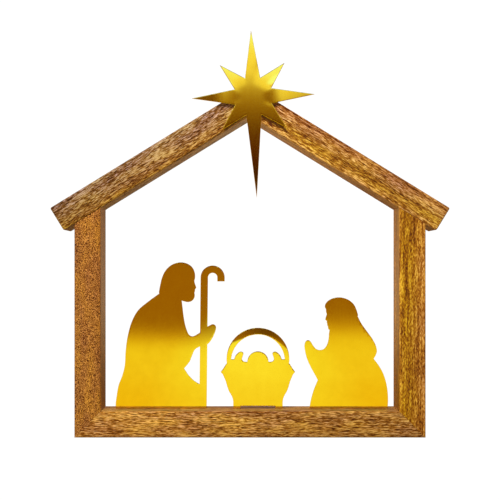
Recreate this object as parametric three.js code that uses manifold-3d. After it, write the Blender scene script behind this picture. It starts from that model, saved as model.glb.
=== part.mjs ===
// A freestanding stable scene: a house-shaped frame of mango wood, 38 mm deep, with three kneeling-scene
// silhouettes of sheet brass standing in slots in its bottom rail, and an eight-pointed sheet-brass star
// held off the ridge on a soldered stud. The bottom corners are mitred, the posts butt under the rafters,
// the rafters meet in a plumb mitre, and every timber joint is glued over two dowels.
// Millimetres. +X is to the right seen from the front, -Y is the front, +Z is up. The origin is the
// middle of the bottom rail's underside.
import * as THREE from "three";
import { mergeVertices } from "three/addons/utils/BufferGeometryUtils.js";
import Module from "manifold-3d";

// Timbers
const stockWidth = 20; // a timber's face, seen from the front
const stockDepth = 38; // from front to back
const edgeRound = 1.5; // sanded long edges
const endRound = 1.2; // sanded tail ends of the rafters
const eaveHeight = 162; // where a post's outer edge meets the roof
const roofPitch = 31.6; // degrees
const eaveOverhang = 18.5; // how far a rafter's upper corner reaches past the post
const glueLine = 0.2; // gap between two glued faces

// Dowels, two in each joint
const dowelRadius = 2.5;
const dowelInset = 11; // from the timber's front or back face to the dowel's centre
const dowelChamfer = 0.5;
const dowelClearance = 0.15; // round a dowel in its hole
const dowelEndGap = 0.5; // glue pocket past each end of a dowel
const dowelWall = 1.4; // wood left between a hole and the outer face of a mitre

// Brass sheet and how it seats in the wood
const sheetThickness = 1;
const slotClearance = 0.3; // on each side of a tab in its slot
const tabDepth = 8;
const tabWidth = 12;
const tabInset = 15; // from a robe's side to the middle of its tab
const seatGap = 0.1; // between a brass piece and the face that it rests on

// The row of silhouettes, from left to right along the rail
const leftMargin = 9.6; // left post to the man's robe
const manWidth = 70.3; // robe and staff at the rail
const manHeight = 113.3;
const manGap = 20.5; // staff to the cradle's foot
const cradleFootWidth = 38.2;
const cradleHeight = 62.4; // to the top of the halo
const womanGap = 20.7; // cradle's foot to the woman's robe
const womanWidth = 60.7;
const womanHeight = 86;
const rightMargin = 6.4; // the woman's robe to the right post

// Details of the silhouettes
const staffWidth = 5.7;
const staffLean = 1; // the shank's foot stands this far left of its top
const crookHeight = 101.2; // the crook's centre above the rail
const crookRadius = 9.3; // outside of the crook
const crookDrop = 3; // straight end of the crook below its centre
const manHeadHeight = 30; // crown to the tip of the beard
const manNod = 6; // degrees
const womanHeadHeight = 25.6; // crown to chin
const womanNod = 4;
const rimHalfWidth = 28.8; // cradle's centre to the tip of its rim
const beddingHeight = 36.1; // top of the straw in the cradle
const haloRadius = 24.3;
const haloTopBand = 5.2; // the ring is thickest at its top
const haloSideBand = 3.5;
const childHeadRadius = 8.2;
const cradleFootLength = 5.7; // each of the two feet
const cradleFootHeight = 1.9;

// Star
const starTop = 50; // ray lengths from the star's centre
const starBottom = 77;
const starSide = 46.6;
const starDiagonal = 34.7;
const starWaist = 15; // centre to the notch between two rays
const starTurn = 2; // degrees, anticlockwise seen from the front
const starDrop = 9.2; // ridge to the star's centre
const starOffset = 2.4; // the stud is soldered this far left of the star's centre
const starStandoff = 2.5; // wood to the back of the star
const studRadius = 2;
const studChamfer = 0.4;
const studClearance = 0.15;
const spacerRadius = 5;
const studWall = 2; // wood left between the stud's hole and the dowel behind it

// How finely curves are drawn
const curveSteps = 5; // between two points of a smooth curve
const arcStep = THREE.MathUtils.degToRad(7.5);
const edgeSegments = 4; // across a sanded edge
const roundSegments = 24;
const beyond = 10; // how far a cutting shape runs past what it cuts

// What follows from the sizes above
const pitch = THREE.MathUtils.degToRad(roofPitch);
const insideWidth = leftMargin + manWidth + manGap + cradleFootWidth + womanGap + womanWidth + rightMargin;
const frameWidth = insideWidth + 2 * stockWidth;
const roofThickness = stockWidth / Math.cos(pitch); // measured plumb
const ridgeUnder = eaveHeight + (frameWidth / 2) * Math.tan(pitch);
const ridgeTop = ridgeUnder + roofThickness;
const frontFace = -stockDepth / 2;
const railTop = stockWidth + seatGap; // where the brass stands
const jointX = frameWidth / 2 - stockWidth / 2; // a post's centre line
const holeRadius = dowelRadius + dowelClearance;
const dowelLength = 2 * (Math.SQRT2 * (stockWidth / 2 - dowelWall) - holeRadius - dowelEndGap);
const studDepth = dowelInset - holeRadius - studWall - dowelEndGap; // in the wood
const manX = -insideWidth / 2 + leftMargin; // left end of the man's robe
const cradleX = manX + manWidth + manGap + cradleFootWidth / 2; // middle of the cradle
const womanX = cradleX + cradleFootWidth / 2 + womanGap; // left end of the woman's robe
const starHeight = ridgeTop - starDrop;

// Directions
const right = new THREE.Vector3(1, 0, 0);
const forward = new THREE.Vector3(0, -1, 0);
const up = new THREE.Vector3(0, 0, 1);

const wasm = await Module();
wasm.setup();

// Materials
const wood = (colour) => new THREE.MeshStandardMaterial({ color: colour, roughness: 0.5, metalness: 0 });
const railWood = wood("#b5803f");
const leftPostWood = wood("#b3763a");
const rightPostWood = wood("#9c6a30");
const leftRafterWood = wood("#977048");
const rightRafterWood = wood("#a3703a");
const beech = wood("#cda774");
const brass = new THREE.MeshStandardMaterial({ color: "#e8b923", roughness: 0.25, metalness: 1 });

const scene = new THREE.Group();

// A closed geometry as a solid that can be joined and cut
function solidOf(geometry) {
  const bare = geometry.clone();
  bare.deleteAttribute("normal");
  bare.deleteAttribute("uv");
  const merged = mergeVertices(bare);
  return new wasm.Manifold(
    new wasm.Mesh({
      numProp: 3,
      vertProperties: merged.attributes.position.array,
      triVerts: new Uint32Array(merged.index.array),
    }),
  );
}

// Adds a finished solid to the scene as a named piece
function addPiece(name, solid, material) {
  const made = solid.getMesh();
  const geometry = new THREE.BufferGeometry();
  geometry.setAttribute("position", new THREE.BufferAttribute(made.vertProperties, 3));
  geometry.setIndex(new THREE.BufferAttribute(made.triVerts, 1));
  geometry.computeVertexNormals();
  const mesh = new THREE.Mesh(geometry, material);
  mesh.name = name;
  scene.add(mesh);
}

const joined = (solids) => solids.reduce((a, b) => a.add(b));
const cutBy = (solid, cutters) => cutters.reduce((rest, cutter) => rest.subtract(cutter), solid);

// Outlines are drawn in front view, as points across and up
const at = (x, z) => new THREE.Vector2(x, z);

// Points given in hundredths of a width and a height, from the place x, z
function inHundredths(x, z, width, height, points) {
  return points.map(([across, rise]) => at(x + (width * across) / 100, z + (height * rise) / 100));
}

// Points along a smooth curve through the given ones
function smooth(points) {
  const curve = new THREE.CatmullRomCurve3(points.map((p) => new THREE.Vector3(p.x, p.y, 0)));
  return curve.getPoints((points.length - 1) * curveSteps).map((p) => at(p.x, p.y));
}

// Points along an arc, from one angle to another
function arc(x, z, radius, from, to) {
  const curve = new THREE.EllipseCurve(x, z, radius, radius, from, to, to < from);
  return curve.getPoints(Math.ceil(Math.abs(to - from) / arcStep));
}

// A plate with an outline, its thickness centred on the depth y
function frontPlate(outline, thickness = sheetThickness, y = 0) {
  const geometry = new THREE.ExtrudeGeometry(new THREE.Shape(outline), {
    depth: thickness,
    bevelEnabled: false,
  });
  geometry.rotateX(Math.PI / 2);
  geometry.translate(0, y + thickness / 2, 0);
  return solidOf(geometry);
}

function box(x, y, z, width, depth, height) {
  const geometry = new THREE.BoxGeometry(width, depth, height);
  geometry.translate(x, y, z);
  return solidOf(geometry);
}

// Turns a geometry made along its Y axis to lie along axis, with its middle at centre
function laidAlong(geometry, centre, axis) {
  geometry.applyQuaternion(new THREE.Quaternion().setFromUnitVectors(new THREE.Vector3(0, 1, 0), axis));
  geometry.translate(centre.x, centre.y, centre.z);
  return solidOf(geometry);
}

function cylinder(radius, length, centre, axis) {
  return laidAlong(new THREE.CylinderGeometry(radius, radius, length, roundSegments), centre, axis);
}

function chamferedPin(radius, length, chamfer, centre, axis) {
  const half = length / 2;
  const profile = [
    at(0, -half),
    at(radius - chamfer, -half),
    at(radius, chamfer - half),
    at(radius, half - chamfer),
    at(radius - chamfer, half),
    at(0, half),
  ];
  return laidAlong(new THREE.LatheGeometry(profile, roundSegments), centre, axis);
}

// A sanded timber whose centre line starts at start and runs along; across points over its face
function timber(start, along, across, length) {
  const flatX = stockWidth / 2 - edgeRound;
  const flatY = stockDepth / 2 - edgeRound;
  const section = new THREE.Shape();
  section.absarc(flatX, flatY, edgeRound, 0, Math.PI / 2);
  section.absarc(-flatX, flatY, edgeRound, Math.PI / 2, Math.PI);
  section.absarc(-flatX, -flatY, edgeRound, Math.PI, Math.PI * 1.5);
  section.absarc(flatX, -flatY, edgeRound, Math.PI * 1.5, Math.PI * 2);
  const geometry = new THREE.ExtrudeGeometry(section, {
    depth: length - 2 * endRound,
    bevelEnabled: true,
    bevelThickness: endRound,
    bevelSize: endRound,
    bevelOffset: -endRound,
    bevelSegments: 3,
    curveSegments: edgeSegments,
  });
  geometry.translate(0, 0, endRound);
  const depthAxis = new THREE.Vector3().crossVectors(along, across);
  geometry.applyMatrix4(new THREE.Matrix4().makeBasis(across, depthAxis, along).setPosition(start));
  return solidOf(geometry);
}

// The part of a timber that lies inside an outline
function within(bar, outline) {
  return bar.intersect(frontPlate(outline, stockDepth + 2 * beyond));
}

// Height of the rafters' underside over the place x
const roofUnderside = (x) => ridgeUnder - Math.abs(x) * Math.tan(pitch);

// Two dowels side by side through a joint; gives back the holes that they sit in
function addDowelPair(name, x, z, axis) {
  return ["front", "back"].map((face) => {
    const toFace = stockDepth / 2 - dowelInset;
    const centre = new THREE.Vector3(x, face === "front" ? -toFace : toFace, z);
    const dowel = chamferedPin(dowelRadius, dowelLength, dowelChamfer, centre, axis);
    addPiece(`${name}_${face}_dowel`, dowel, beech);
    return cylinder(holeRadius, dowelLength + 2 * dowelEndGap, centre, axis);
  });
}

// Tabs and slots have their middles at the given places along the rail
function tabs(places, width) {
  const root = sheetThickness; // how far a tab runs up into its silhouette
  const z = railTop + (root - tabDepth) / 2;
  return joined(places.map((x) => box(x, 0, z, width, sheetThickness, tabDepth + root)));
}

function slots(places, width) {
  const depth = tabDepth + dowelEndGap;
  const z = stockWidth + (beyond - depth) / 2;
  const across = width + 2 * slotClearance;
  const thick = sheetThickness + 2 * slotClearance;
  return places.map((x) => box(x, 0, z, across, thick, depth + beyond));
}

const manTabs = [manX + tabInset, manX + manWidth - tabInset];
const womanTabs = [womanX + tabInset, womanX + womanWidth - tabInset];
const footMiddle = (cradleFootWidth - cradleFootLength) / 2;
const cradleTabs = [cradleX - footMiddle, cradleX + footMiddle];
const cradleTabWidth = cradleFootLength - 2 * slotClearance;

const mitreGap = (glueLine / 2) * Math.SQRT2; // half a glue line, measured along the rail

function addRail(cornerHoles) {
  const start = new THREE.Vector3(-frameWidth / 2 - beyond, 0, stockWidth / 2);
  const bar = timber(start, right, up, frameWidth + 2 * beyond);
  const outer = frameWidth / 2 - mitreGap;
  const inner = outer - stockWidth;
  const mitred = within(bar, [at(-outer, 0), at(outer, 0), at(inner, stockWidth), at(-inner, stockWidth)]);
  const rail = cutBy(mitred, [
    ...cornerHoles,
    ...slots(manTabs, tabWidth),
    ...slots(cradleTabs, cradleTabWidth),
    ...slots(womanTabs, tabWidth),
  ]);
  addPiece("bottom_rail", rail, railWood);
}

// side is -1 for the left and 1 for the right
function addPost(name, side, material, holes) {
  const outer = frameWidth / 2;
  const inner = outer - stockWidth;
  const bar = timber(new THREE.Vector3(side * jointX, 0, -beyond), up, right, ridgeTop);
  const roofGap = glueLine / Math.cos(pitch);
  const post = within(bar, [
    at(side * outer, mitreGap),
    at(side * outer, roofUnderside(outer) - roofGap),
    at(side * inner, roofUnderside(inner) - roofGap),
    at(side * inner, stockWidth + mitreGap),
  ]);
  addPiece(name, cutBy(post, holes), material);
}

function addRafter(name, side, material, holes) {
  const along = new THREE.Vector3(side * Math.cos(pitch), 0, -Math.sin(pitch));
  const across = new THREE.Vector3(side * Math.sin(pitch), 0, Math.cos(pitch));
  const pastRidge = 2 * stockWidth; // the mitre cuts this off
  const slopeLength = (frameWidth / 2 + eaveOverhang) / Math.cos(pitch);
  const start = new THREE.Vector3(0, 0, ridgeTop)
    .addScaledVector(across, -stockWidth / 2)
    .addScaledVector(along, -pastRidge);
  const bar = timber(start, along, across, slopeLength + pastRidge);
  const mitre = (side * glueLine) / 2;
  const far = side * frameWidth;
  const top = ridgeTop + beyond;
  const rafter = within(bar, [at(mitre, 0), at(far, 0), at(far, top), at(mitre, top)]);
  addPiece(name, cutBy(rafter, holes), material);
}

// A head in side view, from points in hundredths of its height, forward and up from its middle.
// facing is 1 for a head that looks to the right and -1 to the left.
function headOutline(points, middle, height, facing, nod) {
  const turn = -facing * THREE.MathUtils.degToRad(nod);
  const flat = inHundredths(0, 0, facing * height, height, points);
  return smooth(flat.map((p) => p.rotateAround(at(0, 0), turn).add(middle)));
}

// Shepherd's staff: a shank, a half ring and a short straight end
function staffOutline() {
  const footRight = manX + manWidth;
  const shankRight = footRight + staffLean;
  const x = shankRight - staffWidth + crookRadius;
  const z = railTop + crookHeight;
  const innerRadius = crookRadius - staffWidth;
  return [
    at(footRight - staffWidth, railTop),
    ...arc(x, z, crookRadius, Math.PI, 0),
    at(x + crookRadius, z - crookDrop),
    at(x + innerRadius, z - crookDrop),
    ...arc(x, z, innerRadius, 0, Math.PI),
    at(footRight, railTop),
  ];
}

// Kneeling man in a headcloth, facing right, one hand on a staff
function addMan() {
  const place = (points) => inHundredths(manX, railTop, manWidth, manHeight, points);
  const back = [
    [0, 4],
    [1.2, 9],
    [3.1, 15.7],
    [7.3, 22.6],
    [9.9, 29],
    [11, 39.7],
    [13.4, 50],
    [18.3, 60.2],
    [24.9, 67.2],
    [36.5, 73.3],
    [47.7, 78.4],
  ];
  const neck = [
    [52, 86],
    [66, 88],
    [71, 80],
  ];
  const chestAndArm = [
    [72.8, 72.5],
    [75.2, 60.6],
    [77.6, 54.4],
    [80.8, 50.2],
    [84.4, 49.2],
    [91.5, 51.4],
    [101.9, 56.2],
    [107.2, 57.5],
    [110.1, 56.1],
    [109.4, 52.4],
    [101.9, 44.3],
    [92.2, 42.2],
    [87.1, 40.2],
    [84, 36.2],
    [81.2, 32],
    [75.2, 27.3],
  ];
  const thigh = [
    [80, 22.8],
    [86, 19.1],
    [93, 16.4],
  ];
  const robe = [
    ...place([[0, 0]]),
    ...smooth(place(back)),
    ...place(neck),
    ...smooth(place(chestAndArm)),
    ...smooth(place(thigh)),
    ...place([[93, 0]]),
  ];
  const headAndBeard = [
    [-46.5, -34],
    [-45, -14],
    [-42, 7],
    [-34, 27],
    [-19, 42.5],
    [2, 50],
    [21, 47.5],
    [34, 38.5],
    [40.5, 26],
    [42.5, 14],
    [41.5, 6],
    [44.5, -3],
    [48, -11.5],
    [45.5, -15.5],
    [45.8, -20],
    [44.8, -24],
    [46, -29],
    [46, -37],
    [41, -45.5],
    [31, -50],
    [19, -49],
  ];
  const [middle] = place([[68.6, 86.6]]);
  const man = joined([
    frontPlate(robe),
    frontPlate(headOutline(headAndBeard, middle, manHeadHeight, 1, manNod)),
    frontPlate(staffOutline()),
    tabs(manTabs, tabWidth),
  ]);
  addPiece("kneeling_man", man, brass);
}

// Kneeling woman under a long veil, facing left, her hands raised
function addWoman() {
  const place = (points) => inHundredths(womanX, railTop, womanWidth, womanHeight, points);
  const skirt = [
    [0, 1],
    [2.2, 8.9],
    [5.7, 17.2],
    [10.6, 25.5],
  ];
  const arms = [
    [7.3, 29.9],
    [1.4, 37.5],
    [-3.1, 44.8],
    [-5.8, 52.4],
    [-6.3, 57.4],
    [-4.6, 60.5],
    [-1.5, 61.5],
    [1.7, 60],
    [4.6, 56.6],
    [8.6, 53.5],
    [13.2, 52.6],
    [18, 53.4],
    [21.9, 56.7],
    [24.2, 62],
    [24.8, 67.5],
  ];
  const neck = [
    [27, 76],
    [34, 84],
    [57, 87],
  ];
  const veil = [
    [61.3, 83],
    [65.7, 76.8],
    [72.9, 69.6],
    [80.3, 62.3],
    [84.7, 56],
    [85.8, 51.4],
    [84.2, 47.8],
    [81.7, 44.7],
  ];
  const robeBack = [
    [87.6, 39.4],
    [93.4, 32.2],
    [97.3, 24],
    [99.5, 15],
    [100, 7],
    [99.4, 0],
  ];
  const robe = [
    ...smooth(place(skirt)),
    ...smooth(place(arms)),
    ...place(neck),
    ...smooth(place(veil)),
    ...smooth(place(robeBack)),
    ...place([[0, 0]]),
  ];
  const headAndVeil = [
    [26, -50],
    [33, -47.5],
    [38, -42],
    [38.5, -35],
    [40.5, -30.5],
    [39.7, -27],
    [41, -23.5],
    [40.5, -19],
    [44.5, -14.5],
    [42.5, -6],
    [39.5, 1.5],
    [41, 9],
    [41, 17],
    [43.5, 24],
    [40.5, 34],
    [30, 43.5],
    [13, 49.5],
    [-9, 49],
    [-30, 40],
    [-44, 26],
    [-51, 9],
    [-55, -9],
  ];
  const [middle] = place([[38.6, 85]]);
  const woman = joined([
    frontPlate(robe),
    frontPlate(headOutline(headAndVeil, middle, womanHeadHeight, -1, womanNod)),
    tabs(womanTabs, tabWidth),
  ]);
  addPiece("kneeling_woman", woman, brass);
}

// One half of the basket, from its foot up to the straw; side is -1 for the left and 1 for the right
function basketHalf(side) {
  const place = (points) => inHundredths(cradleX, railTop, side * rimHalfWidth, cradleHeight, points);
  const belly = [
    [66.4, 9],
    [68.2, 13],
    [72, 17],
    [77, 20.8],
    [82, 26.8],
    [86.4, 33.8],
    [90.8, 38.6],
  ];
  const rim = [
    [94, 42.2],
    [100, 45.3],
    [92.6, 49.8],
    [86, 54.8],
  ];
  return [
    at(cradleX + side * (cradleFootWidth / 2 - cradleFootLength), railTop + cradleFootHeight),
    at(cradleX + side * (cradleFootWidth / 2 - cradleFootLength), railTop),
    at(cradleX + (side * cradleFootWidth) / 2, railTop),
    ...smooth(place(belly)),
    ...place(rim),
    at(cradleX + side * (haloRadius - haloSideBand / 2), railTop + beddingHeight),
  ];
}

// A mitten-shaped hand raised beside the halo, from points across from the cradle's middle and over the straw
function handOutline(side) {
  const palm = [
    [18.4, 2],
    [17.4, 4.6],
    [15.6, 6.7],
    [13.6, 7.9],
    [11.6, 7.4],
    [11.2, 6],
    [11.9, 4],
    [12.3, 1.9],
    [11.3, 0.4],
    [9.6, 0],
  ];
  const bedding = railTop + beddingHeight;
  const root = sheetThickness; // how far the hand runs down into the straw
  return [
    at(cradleX + side * (haloRadius - haloSideBand / 2), bedding - root),
    at(cradleX + side * (haloRadius - haloSideBand / 2), bedding + palm[0][1]),
    ...smooth(palm.map(([x, z]) => at(cradleX + side * x, bedding + z))),
    at(cradleX + side * palm.at(-1)[0], bedding - root),
  ];
}

// Basket cradle on two feet, with straw, a child's round head and raised hands, and an open halo over them
function addCradle() {
  const basket = [...basketHalf(1), ...basketHalf(-1).reverse()];
  const haloHeight = railTop + cradleHeight - haloRadius;
  const rootAngle = Math.PI / 20; // the ring's ends run down this far past its middle, into the basket
  const innerRadius = haloRadius - haloSideBand;
  const innerHeight = haloHeight - haloTopBand + haloSideBand;
  const halo = [
    ...arc(cradleX, haloHeight, haloRadius, -rootAngle, Math.PI + rootAngle),
    ...arc(cradleX, innerHeight, innerRadius, Math.PI, 0),
  ];
  const head = arc(cradleX, railTop + beddingHeight - seatGap, childHeadRadius, 0, Math.PI * 2);
  const shapes = [basket, halo, handOutline(-1), handOutline(1), head.slice(1)];
  const cradle = joined([...shapes.map((shape) => frontPlate(shape)), tabs(cradleTabs, cradleTabWidth)]);
  addPiece("cradle", cradle, brass);
}

// Eight-pointed star with a long lower ray
function addStarPlate() {
  const rays = [
    starSide,
    starDiagonal,
    starTop,
    starDiagonal,
    starSide,
    starDiagonal,
    starBottom,
    starDiagonal,
  ];
  const step = Math.PI / rays.length; // from a ray's tip to the next notch
  const turn = THREE.MathUtils.degToRad(starTurn);
  const centre = at(starOffset, starHeight);
  const point = (radius, angle) => at(radius, 0).rotateAround(at(0, 0), angle + turn).add(centre);
  const outline = rays.flatMap((ray, i) => [point(ray, 2 * i * step), point(starWaist, (2 * i + 1) * step)]);
  const middle = frontFace - starStandoff - sheetThickness / 2;
  addPiece("star", frontPlate(outline, sheetThickness, middle), brass);
}

// The stud soldered to the star's back, and the spacer that the star is pressed home against.
// Gives back the stud's hole, drilled where the two rafters meet.
function addStarFixing() {
  const on = (y) => new THREE.Vector3(0, y, starHeight);
  const studFront = frontFace - starStandoff + seatGap;
  const studBack = frontFace + studDepth;
  const studMiddle = on((studFront + studBack) / 2);
  const stud = chamferedPin(studRadius, studBack - studFront, studChamfer, studMiddle, forward);
  addPiece("star_stud", stud, brass);

  const middle = on(frontFace - starStandoff / 2);
  const ring = cylinder(spacerRadius, starStandoff - 2 * seatGap, middle, forward);
  const bore = cylinder(studRadius + studClearance, starStandoff + beyond, middle, forward);
  addPiece("star_spacer", ring.subtract(bore), brass);

  const holeDepth = studDepth + dowelEndGap;
  const holeMiddle = on(frontFace + (holeDepth - beyond) / 2);
  return cylinder(studRadius + studClearance, holeDepth + beyond, holeMiddle, forward);
}

// The timbers are cut after the dowels and the stud, because these say where the holes are
const cornerAxis = (side) => new THREE.Vector3(side, 0, 1).normalize();
const roofAxis = (side) => new THREE.Vector3(side * Math.sin(pitch), 0, Math.cos(pitch));
const leftCorner = addDowelPair("left_corner", -jointX, stockWidth / 2, cornerAxis(-1));
const rightCorner = addDowelPair("right_corner", jointX, stockWidth / 2, cornerAxis(1));
const leftEave = addDowelPair("left_eave", -jointX, roofUnderside(jointX), roofAxis(-1));
const rightEave = addDowelPair("right_eave", jointX, roofUnderside(jointX), roofAxis(1));
const ridge = addDowelPair("ridge", 0, ridgeTop - roofThickness / 2, right);
addStarPlate();
const studHole = addStarFixing();

addRail([...leftCorner, ...rightCorner]);
addPost("left_post", -1, leftPostWood, [...leftCorner, ...leftEave]);
addPost("right_post", 1, rightPostWood, [...rightCorner, ...rightEave]);
addRafter("left_rafter", -1, leftRafterWood, [...leftEave, ...ridge, studHole]);
addRafter("right_rafter", 1, rightRafterWood, [...rightEave, ...ridge, studHole]);
addMan();
addCradle();
addWoman();

export default scene;
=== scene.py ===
"""A tabletop stable of mango wood with brass silhouettes on its rail and a brass star at its ridge.

Metres. +X is to the right seen from the front, -Y is the front, +Z is up, and the origin is the middle of
the bottom rail's underside.
"""
import math

import bmesh
import bpy
import numpy as np
from mathutils import Matrix, Vector


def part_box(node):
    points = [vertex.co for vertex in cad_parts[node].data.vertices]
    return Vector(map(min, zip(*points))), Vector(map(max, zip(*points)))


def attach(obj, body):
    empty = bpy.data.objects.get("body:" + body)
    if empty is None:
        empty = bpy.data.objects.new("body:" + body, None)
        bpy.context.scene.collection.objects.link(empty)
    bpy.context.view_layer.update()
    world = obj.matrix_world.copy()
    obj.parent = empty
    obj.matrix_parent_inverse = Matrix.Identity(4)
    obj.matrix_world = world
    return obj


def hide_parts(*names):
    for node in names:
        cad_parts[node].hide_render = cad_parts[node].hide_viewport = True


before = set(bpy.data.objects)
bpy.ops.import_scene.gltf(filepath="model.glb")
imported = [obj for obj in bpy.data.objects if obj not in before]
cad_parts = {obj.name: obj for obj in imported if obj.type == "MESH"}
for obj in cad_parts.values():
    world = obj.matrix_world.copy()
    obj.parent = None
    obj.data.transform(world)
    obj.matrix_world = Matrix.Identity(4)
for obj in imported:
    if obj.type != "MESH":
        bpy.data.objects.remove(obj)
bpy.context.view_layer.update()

MM = 0.001
QUARTER_TURN = math.radians(90)

# Timbers, as the frame has them
STOCK_WIDTH = 20 * MM
STOCK_DEPTH = 38 * MM
EDGE_ROUND, EDGE_STEPS = 1.5 * MM, 5
END_ROUND, END_STEPS = 1.2 * MM, 4
EAVE_HEIGHT = 162 * MM
ROOF_PITCH = math.radians(31.6)
EAVE_OVERHANG = 18.5 * MM
FRAME_WIDTH = 266.4 * MM
JOINT_GAP = 0.02 * MM  # half a hairline of glue, closed up so that no light shows through
PAST = 40 * MM  # how far a bar runs on before its joint is cut, and a slot's cutter over the rail

HALF_WIDTH = FRAME_WIDTH / 2
RIDGE_UNDER = EAVE_HEIGHT + HALF_WIDTH * math.tan(ROOF_PITCH)
RIDGE_TOP = RIDGE_UNDER + STOCK_WIDTH / math.cos(ROOF_PITCH)
RIDGE_HEART = (0, 0, RIDGE_TOP - STOCK_WIDTH / 2 / math.cos(ROOF_PITCH))
JOINT_X = HALF_WIDTH - STOCK_WIDTH / 2
RAFTER_LENGTH = (HALF_WIDTH + EAVE_OVERHANG) / math.cos(ROOF_PITCH)

# What sits in the timbers
TAB_DEPTH = 8.5 * MM
TAB_ROOM = 0.3 * MM
SLOT_HALF = 0.8 * MM  # half the sheet and the room beside it
DOWEL_HOLE = 2.65 * MM  # radius
STUD_HOLE = 2.15 * MM  # radius
HOLE_SIDES = 32
DOWEL_POCKET = 0.5 * MM

# How near counts as the same
SAME_END = 0.01 * MM
SAME_FACE = 0.02 * MM
SAME_CORNER = 0.05 * MM
SAME_WAY = 0.99  # cosine of the angle between two edges
FACE_ON = 0.999  # cosine of the angle between a sheet's flat face and the depth axis
FLAT = math.radians(0.5)
SQUARE_EDGE = math.radians(50)

# Up to how many degrees between two faces the edge shades smoothly
TIMBER_SMOOTH = 35
SHEET_SMOOTH = 30

# Brass sheet
EDGE_BREAK, BREAK_STEPS = 0.12 * MM, 2  # deburred edge
SHEET_STEP, CRADLE_STEP, STAR_STEP = 3 * MM, 0.8 * MM, 1.5 * MM  # between the cuts that let a sheet bow
LEAN_HEIGHT = 60 * MM  # over the rail, where a sheet's slope is reached
MAN_LEAN, MAN_TWIST, MAN_HINGE = 0.003, 0.045, -70 * MM  # slope, slope gained in a metre, and where from
WOMAN_LEAN = -0.0033
CRADLE_LEAN = 0.0015
CRADLE_TWIST = 0.12  # slope gained in a metre across

# The top of the cradle's halo is bent back
HALO_RADIUS = 24.3 * MM
HALO_BAND = 5.2 * MM
HALO_TILT = 0.047  # slope of the bent top
HALO_BEND_HEIGHT = 17 * MM  # over the halo's centre, where its inner edge begins to bend
HALO_CURVE = 3 * MM
HALO_FLARE = 1.5  # how much sooner the outer edge bends, for each millimetre outward
HALO_SKEW = 0.02 / MM  # more so on the right side

# The star's rays
RAY_ROOT = 8 * MM  # out from the stud, where a ray begins to curve
RAY_CURVE = 10 * MM  # how much of a ray is curved before it runs straight
RAY_BENDS = ((55, 0.016), (126, 0.015))  # degrees round from +X, and the slope beyond the curve
RAY_COSINE = 0.9  # of the angle from a ray's middle line, where the ray's own bend begins
RAY_BLEND = 0.06  # how much further it is in full
ARM_TWIST = (  # millimetres to the right of the stud, and the slope of the side ray there
    (-47, -0.008),
    (-28, -0.009),
    (-23, -0.001),
    (-19, 0.0025),
    (-14, 0.0),
    (-10, -0.003),
    (-5, 0.0),
    (9, 0.0),
    (14, -0.006),
    (19, 0.002),
    (24, 0.0085),
    (35, 0.006),
    (47, 0.003),
)
RIMS = (0.3 * MM, 0.3 * MM, 0.4 * MM)  # bands along the edges of the star's lower rays, which roll off
RIM_TILT = 0.02  # slope that they roll off to
RIM_START = 4 * MM  # under the stud, and from there the same again until they are in full

# Wood. Lengths here are in millimetres
BAND_SLANT = 0.6  # how far the growth bands rise in a millimetre of depth
OILED_TONES = ("#501e00", "#824305", "#a8681f", "#c8893c", "#edb366")
INTERLOCK = (9, 6)  # length and width of the places where the grain strays
CLOUD = (30, 7)  # and of the clouds of figure
CLOUD_TINTS = [(0.35, (0.96, 0.92, 1.25)), (0.65, (1.08, 1.1, 0.8))]  # from mauve to golden
PORE_DEPTH = 0.15
PORE_RELIEF = 0.4
PORE_ROUGHNESS, WOOD_ROUGHNESS = 0.46, 0.3
OIL_SHEEN = 0.3
EVEN = ((-1, 1), (1, 1))  # as light at both ends

# The studio's colours are amounts of light
TABLE_FRONT, TABLE_BACK, TABLE_SIDE = -3.0, 3.0, 3.0
WHITE = (1, 1, 1, 1)
PAPER_LIGHT = 1.05  # just over white, so that no shade shows on the paper
PALE_TABLE = (0.95, 0.92, 0.42, 1)
WEDGE_HALF = 0.125  # half the width of the table that the front view mirrors, beside the object
WEDGE_FLARE = 0.13  # how much wider that gets in a metre away from it
WEDGE_BLEND = 0.055
POOL_X, POOL_Y = 0.0104, -1.206
POOL_HALF_WIDTH, POOL_HALF_LENGTH = 0.13, 1.8
POOL_BLEND = 0.05  # how far before the object the pool of light fades out
DARK = (0.0, 0.0, 0.0)
ROOM_LIGHT = (0.12, 0.08, 0.055)  # what the room adds to the lamps on the wood from above
BOUNCED_LIGHT = (0.8, 0.62, 0.45)  # and the pale table from below
LEFT_LIGHT = (0.8, 0.55, 0.35)  # and the walls to the left and the right
RIGHT_LIGHT = (0.2, 0.14, 0.1)
FRONT_SHARE, REAR_SHARE = 0.45, 1.55  # how much of that comes from the front, and how much from the rear

# The camera stands where the photograph's did
CAMERA_PLACE = (-9 * MM, -969 * MM, 127.9 * MM)
LENS, SENSOR = 90.3, 36
SHIFT_UP = 0.038
SHIFT_SIDE = 0.0237


def deselect():
    bpy.ops.object.select_all(action="DESELECT")


def select_alone(obj):
    deselect()
    obj.select_set(True)
    bpy.context.view_layer.objects.active = obj


def work_on(obj):
    """Selects obj alone and opens it for editing with everything in it selected."""
    select_alone(obj)
    bpy.ops.object.mode_set(mode="EDIT")
    bpy.ops.mesh.select_all(action="SELECT")


def finish_editing():
    bpy.ops.object.mode_set(mode="OBJECT")


def select_where(obj, kind, wanted):
    """Selects the edges or the faces for which wanted holds, and nothing else. kind is EDGE or FACE."""
    bpy.ops.mesh.select_mode(type=kind)
    bpy.ops.mesh.select_all(action="DESELECT")
    shape = bmesh.from_edit_mesh(obj.data)
    for part in shape.edges if kind == "EDGE" else shape.faces:
        part.select_set(wanted(part))
    bmesh.update_edit_mesh(obj.data)


def apply_modifier(obj, kind, **settings):
    select_alone(obj)
    modifier = obj.modifiers.new(kind.title(), kind)
    for name, value in settings.items():
        setattr(modifier, name, value)
    bpy.ops.object.modifier_apply(modifier=modifier.name)


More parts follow.
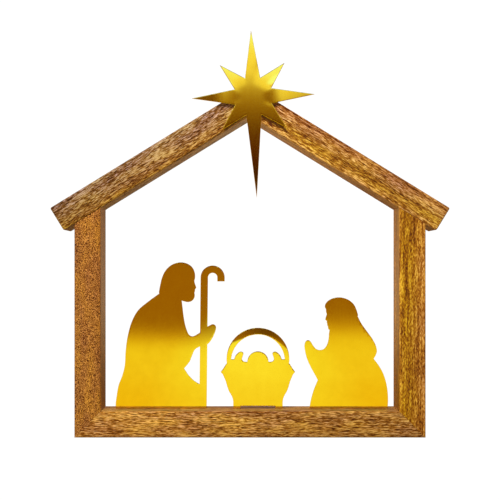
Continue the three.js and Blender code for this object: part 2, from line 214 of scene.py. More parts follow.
def apply_place(obj):
    select_alone(obj)
    bpy.ops.object.transform_apply(location=True, rotation=True, scale=True)


def slice_off(place, outward):
    """Cuts away what lies beyond a plane and closes the cut. Works in edit mode on the whole mesh."""
    bpy.ops.mesh.select_all(action="SELECT")
    bpy.ops.mesh.bisect(plane_co=place, plane_no=outward, use_fill=True, clear_outer=True)


def drill(obj, cutter):
    """Takes the cutter's shape out of obj and throws the cutter away."""
    apply_modifier(obj, "BOOLEAN", object=cutter, operation="DIFFERENCE", solver="EXACT")
    bpy.data.objects.remove(cutter)


def smooth_over(obj, degrees):
    """Rounded edges shade smoothly and flat faces stay flat."""
    select_alone(obj)
    bpy.ops.object.shade_smooth_by_angle(angle=math.radians(degrees))
    apply_modifier(obj, "WEIGHTED_NORMAL", keep_sharp=True)


# Timbers


def sanded_bar(name, centre, length, turn=0.0, tail=False):
    """A bar with rounded long edges. turn tilts it about the depth axis; a tail's far end is rounded too."""
    deselect()
    bpy.ops.mesh.primitive_cube_add(
        size=1, location=centre, rotation=(0, turn, 0), scale=(length, STOCK_DEPTH, STOCK_WIDTH)
    )
    bar = bpy.context.object
    bar.name = name
    apply_place(bar)
    along = Matrix.Rotation(turn, 3, "Y") @ Vector((1, 0, 0))

    def runs_along(edge):
        way = (edge.verts[1].co - edge.verts[0].co).normalized()
        return abs(way.dot(along)) > SAME_WAY

    work_on(bar)
    select_where(bar, "EDGE", runs_along)
    bpy.ops.mesh.bevel(offset=EDGE_ROUND, segments=EDGE_STEPS, affect="EDGES")
    if tail:
        end = (Vector(centre) + along * length / 2).dot(along)
        select_where(bar, "EDGE", lambda e: all(abs(v.co.dot(along) - end) < SAME_END for v in e.verts))
        bpy.ops.mesh.bevel(offset=END_ROUND, segments=END_STEPS, affect="EDGES")
    return bar


def slot_cutter(low, high):
    deselect()
    bpy.ops.mesh.primitive_cube_add(size=1, location=(low + high) / 2, scale=high - low)
    cutter = bpy.context.object
    apply_place(cutter)
    return cutter


def hole_cutter(centre, axis, radius, length):
    deselect()
    turn = Vector(axis).to_track_quat("Z", "Y").to_euler()
    bpy.ops.mesh.primitive_cylinder_add(
        vertices=HOLE_SIDES, radius=radius, depth=length, location=centre, rotation=turn
    )
    cutter = bpy.context.object
    apply_place(cutter)
    return cutter


def dowel_holes(timber, joint, axis):
    """Cuts the holes of a joint's two dowels."""
    for face in ("front", "back"):
        low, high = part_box(f"{joint}_{face}_dowel")
        centre = (low + high) / 2
        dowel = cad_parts[f"{joint}_{face}_dowel"]
        reach = max(abs((v.co - centre).dot(axis)) for v in dowel.data.vertices)
        drill(timber, hole_cutter(centre, axis, DOWEL_HOLE, 2 * (reach + DOWEL_POCKET)))


def finish_timber(timber, node, material):
    smooth_over(timber, TIMBER_SMOOTH)
    timber.data.materials.append(material)
    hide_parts(node)
    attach(timber, "root")


def corner_axis(side):
    return Vector((side, 0, 1)).normalized()


def roof_axis(side):
    return Vector((side * math.sin(ROOF_PITCH), 0, math.cos(ROOF_PITCH)))


def bottom_rail(material):
    rail = sanded_bar("bottom_rail_timber", (0, 0, STOCK_WIDTH / 2), FRAME_WIDTH + 2 * PAST)
    for side in (-1, 1):
        slice_off((side * (HALF_WIDTH - JOINT_GAP), 0, 0), (side, 0, 1))
    finish_editing()
    for name in ("kneeling_man", "cradle", "kneeling_woman"):
        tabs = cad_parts[name].data.vertices
        under = sorted(v.co.x for v in tabs if v.co.z < STOCK_WIDTH - TAB_DEPTH / 2)
        middle = (under[0] + under[-1]) / 2
        for tab in ([x for x in under if x < middle], [x for x in under if x > middle]):
            low = Vector((tab[0] - TAB_ROOM, -SLOT_HALF, STOCK_WIDTH - TAB_DEPTH))
            high = Vector((tab[-1] + TAB_ROOM, SLOT_HALF, STOCK_WIDTH + PAST))
            drill(rail, slot_cutter(low, high))
    dowel_holes(rail, "left_corner", corner_axis(-1))
    dowel_holes(rail, "right_corner", corner_axis(1))
    finish_timber(rail, "bottom_rail", material)


def post(side, word, material):
    middle = (side * JOINT_X, 0, RIDGE_TOP / 2)
    timber = sanded_bar(f"{word}_post_timber", middle, RIDGE_TOP + 2 * PAST, -QUARTER_TURN)
    slice_off((side * HALF_WIDTH, 0, JOINT_GAP), (-side, 0, -1))
    slice_off((side * HALF_WIDTH, 0, EAVE_HEIGHT - JOINT_GAP), roof_axis(side))
    finish_editing()
    dowel_holes(timber, f"{word}_corner", corner_axis(side))
    dowel_holes(timber, f"{word}_eave", roof_axis(side))
    finish_timber(timber, f"{word}_post", material)


def rafter(side, word, material):
    along = Vector((side * math.cos(ROOF_PITCH), 0, -math.sin(ROOF_PITCH)))
    top_middle = Vector((0, 0, RIDGE_TOP)) - roof_axis(side) * STOCK_WIDTH / 2
    middle = top_middle + along * (RAFTER_LENGTH - PAST) / 2
    turn = ROOF_PITCH if side > 0 else math.pi - ROOF_PITCH
    timber = sanded_bar(f"{word}_rafter_timber", middle, RAFTER_LENGTH + PAST, turn, tail=True)
    slice_off((side * JOINT_GAP, 0, 0), (-side, 0, 0))
    finish_editing()
    dowel_holes(timber, f"{word}_eave", roof_axis(side))
    dowel_holes(timber, "ridge", Vector((1, 0, 0)))
    low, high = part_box("star_stud")
    centre = (low + high) / 2
    drill(timber, hole_cutter(centre, (0, 1, 0), STUD_HOLE, high.y - low.y + 2 * DOWEL_POCKET))
    finish_timber(timber, f"{word}_rafter", material)


# Brass sheets


def merged_copy(node, name):
    """A CAD node's shape as a new mesh, its vertices merged and its flat faces whole again."""
    sheet = bpy.data.objects.new(name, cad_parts[node].data.copy())
    bpy.context.scene.collection.objects.link(sheet)
    sheet.data.materials.clear()
    select_alone(sheet)
    bpy.ops.mesh.customdata_custom_splitnormals_clear()
    work_on(sheet)
    bpy.ops.mesh.remove_doubles(threshold=SAME_CORNER)
    bpy.ops.mesh.dissolve_limited(angle_limit=FLAT)
    return sheet


def outline_of(sheet, front):
    """The front face's outline as pairs of points in x and z."""
    shape = bmesh.from_edit_mesh(sheet.data)
    pairs = []
    for edge in shape.edges:
        on_front = all(abs(v.co.y - front) < SAME_FACE for v in edge.verts)
        facing = [f for f in edge.link_faces if f.normal.y < -FACE_ON]
        if on_front and len(facing) == 1:
            pairs.append([(v.co.x, v.co.z) for v in edge.verts])
    return np.array(pairs)


def distance_to(outline, x, z):
    """Shortest distance from each point to the outline's edges."""
    start, end = outline[:, 0], outline[:, 1]
    run = end - start
    square = (run**2).sum(1)
    nearest = np.full(len(x), np.inf)
    for s, r, q in zip(start, run, square):
        t = np.clip(((x - s[0]) * r[0] + (z - s[1]) * r[1]) / q, 0, 1)
        gap = np.hypot(x - s[0] - t * r[0], z - s[1] - t * r[1])
        nearest = np.minimum(nearest, gap)
    return nearest


def grid_cuts(low, high, step):
    """Cuts across the mesh every step, so that a flat sheet can be bowed."""
    for axis, normal in ((0, (1, 0, 0)), (2, (0, 0, 1))):
        count = int((high[axis] - low[axis]) / step)
        for i in range(1, count + 1):
            place = [0, 0, 0]
            place[axis] = low[axis] + i * step
            bpy.ops.mesh.select_all(action="SELECT")
            bpy.ops.mesh.bisect(plane_co=place, plane_no=normal)


def brass_sheet(node, name, material, step, bow, rims=(), rims_below=0):
    """A cut brass sheet with deburred edges, bowed a little out of flat.

    bow(x, z) says how far back the sheet lies at a place. rims are the widths of the bands along the outline
    that carry the rolled edge, below a height.
    """
    low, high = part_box(node)
    sheet = merged_copy(node, name)
    outline = outline_of(sheet, low.y)
    select_where(sheet, "EDGE", lambda e: e.calc_face_angle(0) > SQUARE_EDGE)
    bpy.ops.mesh.bevel(offset=EDGE_BREAK, segments=BREAK_STEPS, affect="EDGES", clamp_overlap=False)
    if rims:
        select_where(sheet, "FACE", lambda f: abs(f.normal.y) > FACE_ON)
        for width in rims:
            bpy.ops.mesh.inset(thickness=width, depth=0)
    grid_cuts(low, high, step)
    finish_editing()
    places = np.empty(len(sheet.data.vertices) * 3)
    sheet.data.vertices.foreach_get("co", places)
    places = places.reshape(-1, 3)
    x, y, z = places.T
    y += bow(x, z)
    if rims:
        width = sum(rims) + EDGE_BREAK
        inward = np.clip(1 - distance_to(outline, x, z) / width, 0, 1)
        lower = np.clip((rims_below - z) / RIM_START, 0, 1)
        middle = (low.y + high.y) / 2
        y -= np.sign(y - middle) * lower * inward**2 * RIM_TILT * width / 2
    sheet.data.vertices.foreach_set("co", places.ravel())
    sheet.data.update()
    smooth_over(sheet, SHEET_SMOOTH)
    sheet.data.materials.append(material)
    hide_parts(node)
    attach(sheet, "root")


def lean(slope, twist=0, hinge=0):
    """A sheet that stands upright in its slot and leans back more and more above it.

    twist is how much more it leans for each metre left of the hinge.
    """

    def bow(x, z):
        above = np.maximum(z - STOCK_WIDTH, 0)
        return slope * above**2 / (2 * LEAN_HEIGHT) + twist * np.minimum(x - hinge, 0) * above

    return bow


def bent(distance, curve):
    """How far back a bend of slope 1 leaves a sheet, at a distance past its start: curved, then straight."""
    curved = np.clip(distance, 0, curve)
    straight = np.maximum(distance - curve, 0)
    return curved**2 / (2 * curve) + straight


def cradle_bow(x, z):
    """The cradle leans back and is twisted a little, and the top of its halo is bent back further."""
    low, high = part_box("cradle")
    middle = (low.x + high.x) / 2
    heart = high.z - HALO_RADIUS
    outward = np.hypot(x - middle, z - heart) - (HALO_RADIUS - HALO_BAND)
    beyond = z - heart - HALO_BEND_HEIGHT + (HALO_FLARE + HALO_SKEW * (x - middle)) * outward
    bend = HALO_TILT / (1 + HALO_FLARE) * bent(beyond, HALO_CURVE)
    twist = CRADLE_TWIST * (x - middle) * np.maximum(z - STOCK_WIDTH, 0)
    return lean(CRADLE_LEAN)(x, z) + bend + twist


def star_heart():
    """Where the stud holds the star, in x and z."""
    low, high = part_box("star_stud")
    return (low.x + high.x) / 2, (low.z + high.z) / 2


def star_bow(x, z):
    """The star's upper slanting rays bend back, and its side rays are twisted a little."""
    heart_x, heart_z = star_heart()
    out, up = x - heart_x, z - heart_z
    reach = np.hypot(out, up) + 1e-9  # never nought, as it divides
    back = np.zeros_like(x)
    for angle, tilt in RAY_BENDS:
        toward = out * math.cos(math.radians(angle)) + up * math.sin(math.radians(angle))
        in_ray = np.clip((toward / reach - RAY_COSINE) / RAY_BLEND, 0, 1)
        back += in_ray * tilt * bent(toward - RAY_ROOT, RAY_CURVE)
    places, slopes = zip(*ARM_TWIST)
    twist = np.interp(out / MM, places, slopes)
    in_arm = np.clip((np.abs(out) / reach - RAY_COSINE) / RAY_BLEND, 0, 1)
    return back + in_arm * twist * up


# Materials


def linear(colour):
    """A hex colour as Blender's linear red, green, blue and alpha."""
    parts = [int(colour[i : i + 2], 16) / 255 for i in (1, 3, 5)]
    return [c / 12.92 if c <= 0.04045 else ((c + 0.055) / 1.055) ** 2.4 for c in parts] + [1.0]


def add_node(tree, kind, inputs=None, stops=None, **settings):
    """Adds a node. inputs maps a socket's name or number to a value or an output.

    stops fill a colour ramp: each is a place and a hex colour or a triple of factors.
    """
    node = tree.nodes.new(kind)
    for name, value in settings.items():
        setattr(node, name, value)
    for key, value in (inputs or {}).items():
        if isinstance(value, bpy.types.NodeSocket):
            tree.links.new(value, node.inputs[key])
        else:
            node.inputs[key].default_value = value
    if stops:
        elements = node.color_ramp.elements
        while len(elements) < len(stops):
            elements.new(1)
        for element, (place, colour) in zip(elements, stops):
            element.position = place
            element.color = linear(colour) if isinstance(colour, str) else [*colour, 1.0]
    return node


def new_material(name):
    material = bpy.data.materials.new(name)
    material.use_nodes = True
    material.node_tree.nodes.clear()
    return material, material.node_tree


def spaced(colours):
    """Stops for a colour ramp, the colours evenly spaced over it."""
    return [(i / (len(colours) - 1), colour) for i, colour in enumerate(colours)]


def drawn_noise(tree, place, length, width):
    """The outputs of a noise whose blots are so long and so wide, in the units of place."""
    scale = (1 / length, 1 / width, 1 / width)
    drawn = add_node(tree, "ShaderNodeMapping", {"Vector": place, "Scale": scale}).outputs["Vector"]
    return add_node(tree, "ShaderNodeTexNoise", {"Vector": drawn, "Scale": 1, "Detail": 2}).outputs


def mango(name, turn, heart, seed, bands, curl, stroke, stripe, weights, lengthwise=EVEN):
    """Mango wood, sanded and oiled: a satin, open-pored brown wood with interlocked, uneven grain.

    turn and heart lay the grain along the timber, and seed picks the piece of the tree. bands are the growth
    bands' tints, evenly spaced over one width of the stock. curl is how far the grain strays, stroke the
    length and width of the pores' dark dashes and stripe those of the longer streaks, in millimetres.
    weights say how strongly each of these shows. lengthwise says at two places along the timber how light it
    is there.
    """
    material, tree = new_material(name)
    place = add_node(tree, "ShaderNodeTexCoord").outputs["Object"]
    laid = Matrix.Rotation(turn, 3, "Y") @ Vector(heart) / MM
    grain = add_node(
        tree,
        "ShaderNodeMapping",
        {
            "Vector": place,
            "Location": Vector((seed, 0, 0)) - laid,
            "Rotation": (0, turn, 0),
            "Scale": (1 / MM, 1 / MM, 1 / MM),
        },
    ).outputs["Vector"]

    # Interlocked grain: the fibres stray from side to side
    drift = drawn_noise(tree, grain, *INTERLOCK)["Color"]
    centred = add_node(
        tree, "ShaderNodeVectorMath", {0: drift, 1: (0.5, 0.5, 0.5)}, operation="SUBTRACT"
    ).outputs[0]
    strayed = add_node(
        tree, "ShaderNodeVectorMath", {0: centred, 1: (2 * curl,) * 3, 2: grain}, operation="MULTIPLY_ADD"
    ).outputs[0]

    # Pores' dark dashes, longer streaks and clouds of figure add up to the tone. The pores are about 0.2 mm
    # wide in the wood and drawn two to three times as wide, so that they show
    tone = 0.5
    layers = {}
    for layer, (length, width) in {"stroke": stroke, "stripe": stripe, "cloud": CLOUD}.items():
        layers[layer] = drawn_noise(tree, strayed, length, width)["Fac"]
        weight = weights[layer]
        share = add_node(
            tree, "ShaderNodeMath", {0: layers[layer], 1: weight, 2: -weight / 2}, operation="MULTIPLY_ADD"
        ).outputs[0]
        tone = add_node(tree, "ShaderNodeMath", {0: tone, 1: share}, operation="ADD").outputs[0]
    colour = add_node(tree, "ShaderNodeValToRGB", {"Fac": tone}, stops=spaced(OILED_TONES)).outputs["Color"]

    # Growth bands lie at a slant through the timber, so that each face shows them in its own place
    within = add_node(tree, "ShaderNodeSeparateXYZ", {"Vector": strayed}).outputs
    width, half_depth = STOCK_WIDTH / MM, STOCK_DEPTH / 2 / MM
    lowest = width / 2 + BAND_SLANT * half_depth
    risen = add_node(
        tree, "ShaderNodeMath", {0: within["Y"], 1: BAND_SLANT, 2: within["Z"]}, operation="MULTIPLY_ADD"
    ).outputs[0]
    across = add_node(tree, "ShaderNodeMath", {0: risen, 1: lowest}, operation="ADD").outputs[0]
    folded = add_node(tree, "ShaderNodeMath", {0: across, 1: width}, operation="PINGPONG").outputs[0]
    band = add_node(tree, "ShaderNodeMath", {0: folded, 1: width}, operation="DIVIDE").outputs[0]
    tint = add_node(tree, "ShaderNodeValToRGB", {"Fac": band}, stops=spaced(bands)).outputs["Color"]
    tinted = add_node(tree, "ShaderNodeVectorMath", {0: colour, 1: tint}, operation="MULTIPLY").outputs[0]
    cloud = add_node(tree, "ShaderNodeValToRGB", {"Fac": layers["cloud"]}, stops=CLOUD_TINTS).outputs["Color"]
    mottled = add_node(tree, "ShaderNodeVectorMath", {0: tinted, 1: cloud}, operation="MULTIPLY").outputs[0]

    # The timber grows lighter towards one end
    (start, at_start), (end, at_end) = lengthwise
    ends = {"From Min": seed + start / MM, "From Max": seed + end / MM, "To Min": at_start, "To Max": at_end}
    light = add_node(tree, "ShaderNodeMapRange", {"Value": within["X"], **ends}).outputs["Result"]
    wood = add_node(tree, "ShaderNodeVectorMath", {0: mottled, "Scale": light}, operation="SCALE").outputs[0]

    dents = {"Height": layers["stroke"], "Strength": PORE_RELIEF, "Distance": PORE_DEPTH * MM}
    relief = add_node(tree, "ShaderNodeBump", dents).outputs["Normal"]
    gloss = {"Value": layers["stroke"], "To Min": PORE_ROUGHNESS, "To Max": WOOD_ROUGHNESS}
    satin = add_node(tree, "ShaderNodeMapRange", gloss).outputs["Result"]
    shader = add_node(
        tree,
        "ShaderNodeBsdfPrincipled",
        {"Base Color": wood, "Roughness": satin, "Normal": relief, "Specular IOR Level": OIL_SHEEN},
    )
    add_node(tree, "ShaderNodeOutputMaterial", {"Surface": shader.outputs["BSDF"]})
    return material


def beech():
    """Turned beech dowel: pale, plain and matt, with short fine pores."""
    material, tree = new_material("turned_beech")
    per_pore = 1.5 / MM  # the pores stand about 0.7 mm apart
    tones = [(0.3, "#b98f5c"), (0.5, "#cfa976"), (0.7, "#dcbb8c")]
    place = add_node(tree, "ShaderNodeTexCoord").outputs["Object"]
    pores = add_node(
        tree, "ShaderNodeTexNoise", {"Vector": place, "Scale": per_pore, "Detail": 3}
    ).outputs["Fac"]
    colour = add_node(tree, "ShaderNodeValToRGB", {"Fac": pores}, stops=tones).outputs["Color"]
    shader = add_node(tree, "ShaderNodeBsdfPrincipled", {"Base Color": colour, "Roughness": 0.7, "IOR": 1.5})
    add_node(tree, "ShaderNodeOutputMaterial", {"Surface": shader.outputs["BSDF"]})
    return material


def brass():
    """Sheet brass, brushed fine along its height and lacquered: a near mirror with a soft upright grain."""
    material, tree = new_material("brushed_lacquered_brass")
    # The brush marks are 0.1 mm wide on the metal and drawn 0.5 mm wide, so that a few show
    mark_width, mark_length, mark_depth = 0.5 * MM, 25 * MM, 0.02 * MM
    per_cloud = 0.12 / MM  # the lacquer's clouds are about 8 mm across
    tones = [(0.3, "#f2bb3e"), (0.5, "#f4be42"), (0.7, "#f6c146")]
    place = add_node(tree, "ShaderNodeTexCoord").outputs["Object"]
    upright = (1 / mark_width, 1 / mark_width, 1 / mark_length)
    marks = add_node(tree, "ShaderNodeMapping", {"Vector": place, "Scale": upright}).outputs["Vector"]
    brushed = add_node(tree, "ShaderNodeTexNoise", {"Vector": marks, "Scale": 1, "Detail": 3}).outputs["Fac"]
    cloud = add_node(
        tree, "ShaderNodeTexNoise", {"Vector": place, "Scale": per_cloud, "Detail": 3}
    ).outputs["Fac"]
    colour = add_node(tree, "ShaderNodeValToRGB", {"Fac": cloud}, stops=tones).outputs["Color"]
    gloss = add_node(
        tree, "ShaderNodeMapRange", {"Value": brushed, "To Min": 0.04, "To Max": 0.09}
    ).outputs["Result"]
    relief = add_node(
        tree, "ShaderNodeBump", {"Height": brushed, "Strength": 0.03, "Distance": mark_depth}
    ).outputs["Normal"]
    shader = add_node(
        tree,
        "ShaderNodeBsdfPrincipled",
        {"Base Color": colour, "Metallic": 1.0, "Roughness": gloss, "Normal": relief},
    )
    add_node(tree, "ShaderNodeOutputMaterial", {"Surface": shader.outputs["BSDF"]})
    return material


# Studio


def floor():
    """A pale table that glows, white to the camera. What mirrors it sees a painted pool of light in front of
    the object, and painted shade just behind it.
    """
    deselect()
    bpy.ops.mesh.primitive_plane_add(size=1, location=(0, (TABLE_FRONT + TABLE_BACK) / 2, 0))
    table = bpy.context.object
    table.name = "table"
    table.scale = (2 * TABLE_SIDE, TABLE_BACK - TABLE_FRONT, 1)
    apply_place(table)
    table.visible_diffuse = False  # so that it doesn't light the wood from below
    material, tree = new_material("glowing_table")
    place = add_node(tree, "ShaderNodeTexCoord").outputs["Object"]
    spot = add_node(tree, "ShaderNodeSeparateXYZ", {"Vector": place}).outputs

    # Light along the table, from the front of the room to its back. For a stretch just behind the object it
    # is dark: painted shade of the object
    first, last = -2.8, 2.4
    falloff = [
        (-2.5, (0.34, 0.2, 0.007)),
        (-2.2, (0.36, 0.22, 0.01)),
        (-1.95, (0.41, 0.28, 0.014)),
        (-1.75, (0.5, 0.35, 0.022)),
        (-1.6, (0.6, 0.47, 0.03)),
        (-1.45, (0.74, 0.66, 0.05)),
        (-1.3, (0.88, 0.9, 0.08)),
        (-1.1, (0.98, 1.08, 0.13)),
        (-0.6, (0.99, 1.06, 0.13)),
        (-0.3, (0.96, 0.93, 0.07)),
        (-0.05, (1.0, 0.93, 0.06)),
        (0.0, (0.2, 0.11, 0.03)),
        (0.3, (0.17, 0.085, 0.018)),
        (0.75, (0.17, 0.085, 0.018)),
        (1.4, (0.32, 0.21, 0.1)),
        (2.2, (0.8, 0.55, 0.32)),
    ]
    share = add_node(
        tree, "ShaderNodeMapRange", {"Value": spot["Y"], "From Min": first, "From Max": last}
    ).outputs["Result"]
    stops = [((y - first) / (last - first), colour) for y, colour in falloff]
    straight = add_node(tree, "ShaderNodeValToRGB", {"Fac": share}, stops=stops).outputs["Color"]

    # To both sides of what shows in the brass and the wood from the front, the table is evenly pale
    aside = add_node(tree, "ShaderNodeMath", {0: spot["X"]}, operation="ABSOLUTE").outputs[0]
    away = add_node(tree, "ShaderNodeMath", {0: spot["Y"]}, operation="ABSOLUTE").outputs[0]
    past = add_node(
        tree, "ShaderNodeMath", {0: away, 1: -WEDGE_FLARE, 2: aside}, operation="MULTIPLY_ADD"
    ).outputs[0]
    edge = {"From Min": WEDGE_HALF, "From Max": WEDGE_HALF + WEDGE_BLEND}
    wide = add_node(tree, "ShaderNodeMapRange", {"Value": past, **edge}).outputs["Result"]
    light = add_node(
        tree, "ShaderNodeMix", {0: wide, 6: straight, 7: PALE_TABLE}, data_type="RGBA"
    ).outputs[2]

    # The pool of light, long and narrow, in front of the object only
    round_pool = {
        "Location": (-POOL_X / POOL_HALF_WIDTH, -POOL_Y / POOL_HALF_LENGTH, 0),
        "Scale": (1 / POOL_HALF_WIDTH, 1 / POOL_HALF_LENGTH, 1),
    }
    pool_stops = [
        (0.0, DARK),
        (0.3, (0.05, 0.22, 0.096)),
        (0.8, (0.12, 0.36, 0.24)),
        (1.0, (0.2, 0.8, 0.456)),
    ]
    pool = add_node(tree, "ShaderNodeMapping", {"Vector": place, **round_pool}).outputs["Vector"]
    glow = add_node(tree, "ShaderNodeTexGradient", {"Vector": pool}, gradient_type="SPHERICAL").outputs["Fac"]
    added = add_node(tree, "ShaderNodeValToRGB", {"Fac": glow}, stops=pool_stops).outputs["Color"]
    ahead = add_node(
        tree, "ShaderNodeMapRange", {"Value": spot["Y"], "From Min": 0.0, "From Max": -POOL_BLEND}
    ).outputs["Result"]
    power = add_node(
        tree, "ShaderNodeVectorMath", {0: added, 1: ahead, 2: light}, operation="MULTIPLY_ADD"
    ).outputs[0]

    # The table glows: its light, its pool of light and its shade behind the object are painted into its
    # emission, not cast by the lamps
    seen = add_node(tree, "ShaderNodeLightPath").outputs["Is Camera Ray"]
    lit = add_node(tree, "ShaderNodeEmission", {"Color": power, "Strength": 1.0}).outputs[0]
    white = add_node(tree, "ShaderNodeEmission", {"Color": WHITE, "Strength": PAPER_LIGHT}).outputs[0]
    both = add_node(tree, "ShaderNodeMixShader", {0: seen, 1: lit, 2: white}).outputs[0]
    add_node(tree, "ShaderNodeOutputMaterial", {"Surface": both})
    table.data.materials.append(material)


def surroundings():
    """A dim warm room with a bright panel above the camera, and white paper behind the object.

    Heights and sides here are parts of a ray's direction, from -1 to 1.
    """
    world = bpy.data.worlds.new("studio")
    bpy.context.scene.world = world
    world.use_nodes = True
    tree = world.node_tree
    tree.nodes.clear()
    way = add_node(tree, "ShaderNodeTexCoord").outputs["Generated"]
    ray = add_node(tree, "ShaderNodeSeparateXYZ", {"Vector": way}).outputs

    # The room behind the camera, by height, with the panel near its top
    room_low, room_high = -0.1, 0.3
    room = [
        (-0.1, (0.12, 0.09, 0.019)),
        (-0.05, (0.34, 0.2, 0.007)),
        (0.015, (0.36, 0.21, 0.01)),
        (0.05, (0.15, 0.09, 0.005)),
        (0.0735, (0.034, 0.008, 0.001)),
        (0.09, (0.09, 0.023, 0.002)),
        (0.102, (0.11, 0.04, 0.004)),
        (0.112, (0.14, 0.07, 0.005)),
        (0.123, (0.23, 0.14, 0.007)),
        (0.133, (0.34, 0.24, 0.012)),
        (0.139, (0.4, 0.3, 0.014)),
        (0.1415, (0.43, 0.35, 0.03)),
        (0.145, (0.56, 0.56, 0.14)),
        (0.15, (0.98, 1.18, 0.55)),
        (0.158, (1.1, 1.3, 0.6)),
        (0.17, (1.08, 1.28, 0.5)),
        (0.177, (1.07, 1.55, 1.2)),
        (0.184, (1.08, 1.85, 2.4)),
        (0.24, (1.1, 2.05, 4.2)),
        (0.265, (0.2, 0.18, 0.038)),
        (0.3, (0.16, 0.15, 0.034)),
    ]
    share = add_node(
        tree, "ShaderNodeMapRange", {"Value": ray["Z"], "From Min": room_low, "From Max": room_high}
    ).outputs["Result"]
    stops = [((z - room_low) / (room_high - room_low), colour) for z, colour in room]
    middle = add_node(tree, "ShaderNodeValToRGB", {"Fac": share}, stops=stops).outputs["Color"]

    # Its sides, lighter the further round they are
    side_low, side_high = 0.12, 0.2
    side_stops = [(0.15, (0.3, 0.22, 0.12)), (0.5, (0.5, 0.4, 0.28)), (1.0, (0.9, 0.8, 0.65))]
    aside = add_node(tree, "ShaderNodeMath", {0: ray["X"]}, operation="ABSOLUTE").outputs[0]
    off_axis = add_node(
        tree, "ShaderNodeMapRange", {"Value": aside, "From Min": side_low, "From Max": side_high}
    ).outputs["Result"]
    around = add_node(tree, "ShaderNodeValToRGB", {"Fac": aside}, stops=side_stops).outputs["Color"]
    front = add_node(tree, "ShaderNodeMix", {0: off_axis, 6: middle, 7: around}, data_type="RGBA").outputs[2]

    # The room behind the object
    wall_low, wall_high = -0.1, 0.4
    wall_stops = [
        (0.0, (0.5, 0.34, 0.18)),
        (0.2, (0.75, 0.53, 0.33)),
        (0.34, (0.15, 0.1, 0.045)),
        (0.5, (0.15, 0.1, 0.045)),
        (1.0, (0.5, 0.38, 0.26)),
    ]
    wall_share = add_node(
        tree, "ShaderNodeMapRange", {"Value": ray["Z"], "From Min": wall_low, "From Max": wall_high}
    ).outputs["Result"]
    behind = add_node(tree, "ShaderNodeValToRGB", {"Fac": wall_share}, stops=wall_stops).outputs["Color"]
    turned = add_node(
        tree, "ShaderNodeMapRange", {"Value": ray["Y"], "From Min": -0.1, "From Max": 0.25}
    ).outputs["Result"]
    mirrored = add_node(tree, "ShaderNodeMix", {0: turned, 6: front, 7: behind}, data_type="RGBA").outputs[2]

    # What lights the wood: the room from above and the sides, the table from below, and more from the rear
    downward = add_node(
        tree, "ShaderNodeMapRange", {"Value": ray["Z"], "From Min": 0.0, "From Max": -0.5}
    ).outputs["Result"]
    upright_stops = [(0.0, ROOM_LIGHT), (1.0, BOUNCED_LIGHT)]
    upright = add_node(tree, "ShaderNodeValToRGB", {"Fac": downward}, stops=upright_stops).outputs["Color"]
    rightward = add_node(
        tree, "ShaderNodeMapRange", {"Value": ray["X"], "From Min": -1.0, "From Max": 1.0}
    ).outputs["Result"]
    level_stops = [(0.0, LEFT_LIGHT), (0.35, DARK), (0.65, DARK), (1.0, RIGHT_LIGHT)]
    level = add_node(tree, "ShaderNodeValToRGB", {"Fac": rightward}, stops=level_stops).outputs["Color"]
    total = add_node(tree, "ShaderNodeVectorMath", {0: upright, 1: level}, operation="ADD").outputs[0]
    shares = {"From Min": -0.3, "From Max": 0.3, "To Min": FRONT_SHARE, "To Max": REAR_SHARE}
    rearward = add_node(tree, "ShaderNodeMapRange", {"Value": ray["Y"], **shares}).outputs["Result"]
    spread = add_node(
        tree, "ShaderNodeVectorMath", {0: total, "Scale": rearward}, operation="SCALE"
    ).outputs[0]

    kind = add_node(tree, "ShaderNodeLightPath").outputs
    light = add_node(
        tree, "ShaderNodeMix", {0: kind["Is Diffuse Ray"], 6: mirrored, 7: spread}, data_type="RGBA"
    ).outputs[2]
    studio = add_node(tree, "ShaderNodeBackground", {"Color": light, "Strength": 1.0}).outputs[0]
    white = add_node(tree, "ShaderNodeBackground", {"Color": WHITE, "Strength": PAPER_LIGHT}).outputs[0]
    both = add_node(tree, "ShaderNodeMixShader", {0: kind["Is Camera Ray"], 1: studio, 2: white}).outputs[0]
    add_node(tree, "ShaderNodeOutputWorld", {"Surface": both})


def soft_light(name, place, target, size, power, tint=(1, 1, 1)):
    """A lamp that lights the wood and isn't seen in the brass, which mirrors the room alone."""
    deselect()
    turn = (Vector(target) - Vector(place)).to_track_quat("-Z", "Y").to_euler()
    bpy.ops.object.light_add(type="AREA", location=place, rotation=turn)
    lamp = bpy.context.object
    lamp.name = name
    lamp.data.shape = "RECTANGLE"
    lamp.data.size, lamp.data.size_y = size
    lamp.data.energy = power
    lamp.data.color = tint
    lamp.visible_glossy = False


def camera():
    deselect()
    bpy.ops.object.camera_add(location=CAMERA_PLACE, rotation=(QUARTER_TURN, 0, 0))
    eye = bpy.context.object
    eye.data.lens = LENS
    eye.data.sensor_width = SENSOR
    eye.data.shift_y = SHIFT_UP
    eye.data.shift_x = SHIFT_SIDE
    bpy.context.scene.camera = eye


camera()
floor()
surroundings()
soft_light("key", place=(-0.12, -0.98, 1.0), target=(0, 0, 0.15), size=(0.4, 0.25), power=18.2)
soft_light("fill", place=(0.3, -1.3, 0.25), target=(0, 0, 0.14), size=(0.9, 0.7), power=0.3)
soft_light(
    "back", place=(-0.4, 1.2, 0.7), target=(0, 0, 0.14), size=(0.9, 0.7), power=5, tint=(1, 0.85, 0.6)
)
bpy.context.scene.view_settings.view_transform = "Standard"

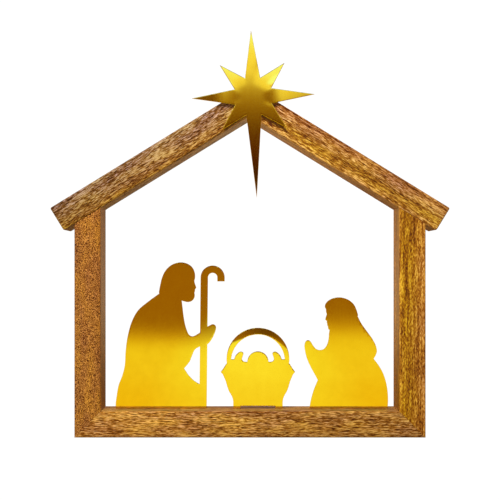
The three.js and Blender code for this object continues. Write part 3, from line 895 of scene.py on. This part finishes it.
rail_wood = mango(
    "oiled_mango_rail",
    turn=0,
    heart=(0, 0, STOCK_WIDTH / 2),
    seed=300,
    bands=[(0.77, 0.82, 0.95), (0.9, 0.94, 0.9), (1.05, 1.17, 1.2), (1.03, 1.14, 1.35)],
    curl=0.8,
    stroke=(5.0, 0.38),
    stripe=(24, 0.9),
    weights={"stroke": 4.2, "stripe": 1.6, "cloud": 0.9},
    lengthwise=((-HALF_WIDTH, 1.18), (HALF_WIDTH, 0.84)),
)
left_post_wood = mango(
    "oiled_mango_left_post",
    turn=QUARTER_TURN,
    heart=(-JOINT_X, 0, 0),
    seed=900,
    bands=[(0.74, 0.6, 0.36), (0.81, 0.68, 0.48), (0.81, 0.68, 0.48), (0.75, 0.63, 0.48)],
    curl=1.0,
    stroke=(0.8, 0.4),
    stripe=(5, 1.5),
    weights={"stroke": 9.0, "stripe": 0.6, "cloud": 0.9},
)
right_post_wood = mango(
    "oiled_mango_right_post",
    turn=QUARTER_TURN,
    heart=(JOINT_X, 0, 0),
    seed=1500,
    bands=[
        (0.93, 0.9, 0.7),
        (1.03, 1.1, 0.95),
        (0.96, 1.05, 0.5),
        (0.91, 1.02, 0.2),
        (0.95, 1.08, 0.2),
        (1.07, 1.2, 0.5),
    ],
    curl=0.6,
    stroke=(2.2, 0.55),
    stripe=(30, 1.4),
    weights={"stroke": 2.2, "stripe": 1.6, "cloud": 0.6},
)
left_rafter_wood = mango(
    "oiled_mango_left_rafter",
    turn=ROOF_PITCH,
    heart=RIDGE_HEART,
    seed=2100,
    bands=[(0.81, 0.88, 0.45), (0.75, 0.88, 1.05), (0.72, 0.89, 1.6), (0.71, 0.9, 2.0), (0.65, 0.87, 2.0)],
    curl=0.8,
    stroke=(4.2, 0.46),
    stripe=(14, 1.2),
    weights={"stroke": 4.0, "stripe": 1.5, "cloud": 0.8},
    lengthwise=((-RAFTER_LENGTH, 0.83), (0, 1.15)),
)
right_rafter_wood = mango(
    "oiled_mango_right_rafter",
    turn=-ROOF_PITCH,
    heart=RIDGE_HEART,
    seed=2700,
    bands=[
        (1.25, 1.48, 1.75),
        (0.99, 1.14, 0.65),
        (0.9, 1.01, 0.45),
        (1.0, 1.17, 1.5),
        (0.94, 0.97, 1.35),
        (0.78, 0.76, 0.75),
    ],
    curl=0.7,
    stroke=(4.2, 0.46),
    stripe=(34, 1.2),
    weights={"stroke": 3.2, "stripe": 1.6, "cloud": 0.5},
    lengthwise=((0, 1.08), (RAFTER_LENGTH, 0.88)),
)

bottom_rail(rail_wood)
post(-1, "left", left_post_wood)
post(1, "right", right_post_wood)
rafter(-1, "left", left_rafter_wood)
rafter(1, "right", right_rafter_wood)

gold = brass()
man_bow = lean(MAN_LEAN, MAN_TWIST, MAN_HINGE)
rims_below = star_heart()[1] - RIM_START
brass_sheet("kneeling_man", "kneeling_man_sheet", gold, SHEET_STEP, man_bow)
brass_sheet("cradle", "cradle_sheet", gold, CRADLE_STEP, cradle_bow)
brass_sheet("kneeling_woman", "kneeling_woman_sheet", gold, SHEET_STEP, lean(WOMAN_LEAN))
brass_sheet("star", "star_sheet", gold, STAR_STEP, star_bow, RIMS, rims_below)

dowel_wood = beech()
for name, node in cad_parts.items():
    if name.endswith("_dowel"):
        node.data.materials.clear()
        node.data.materials.append(dowel_wood)
    elif name in ("star_stud", "star_spacer"):
        node.data.materials.clear()
        node.data.materials.append(gold)
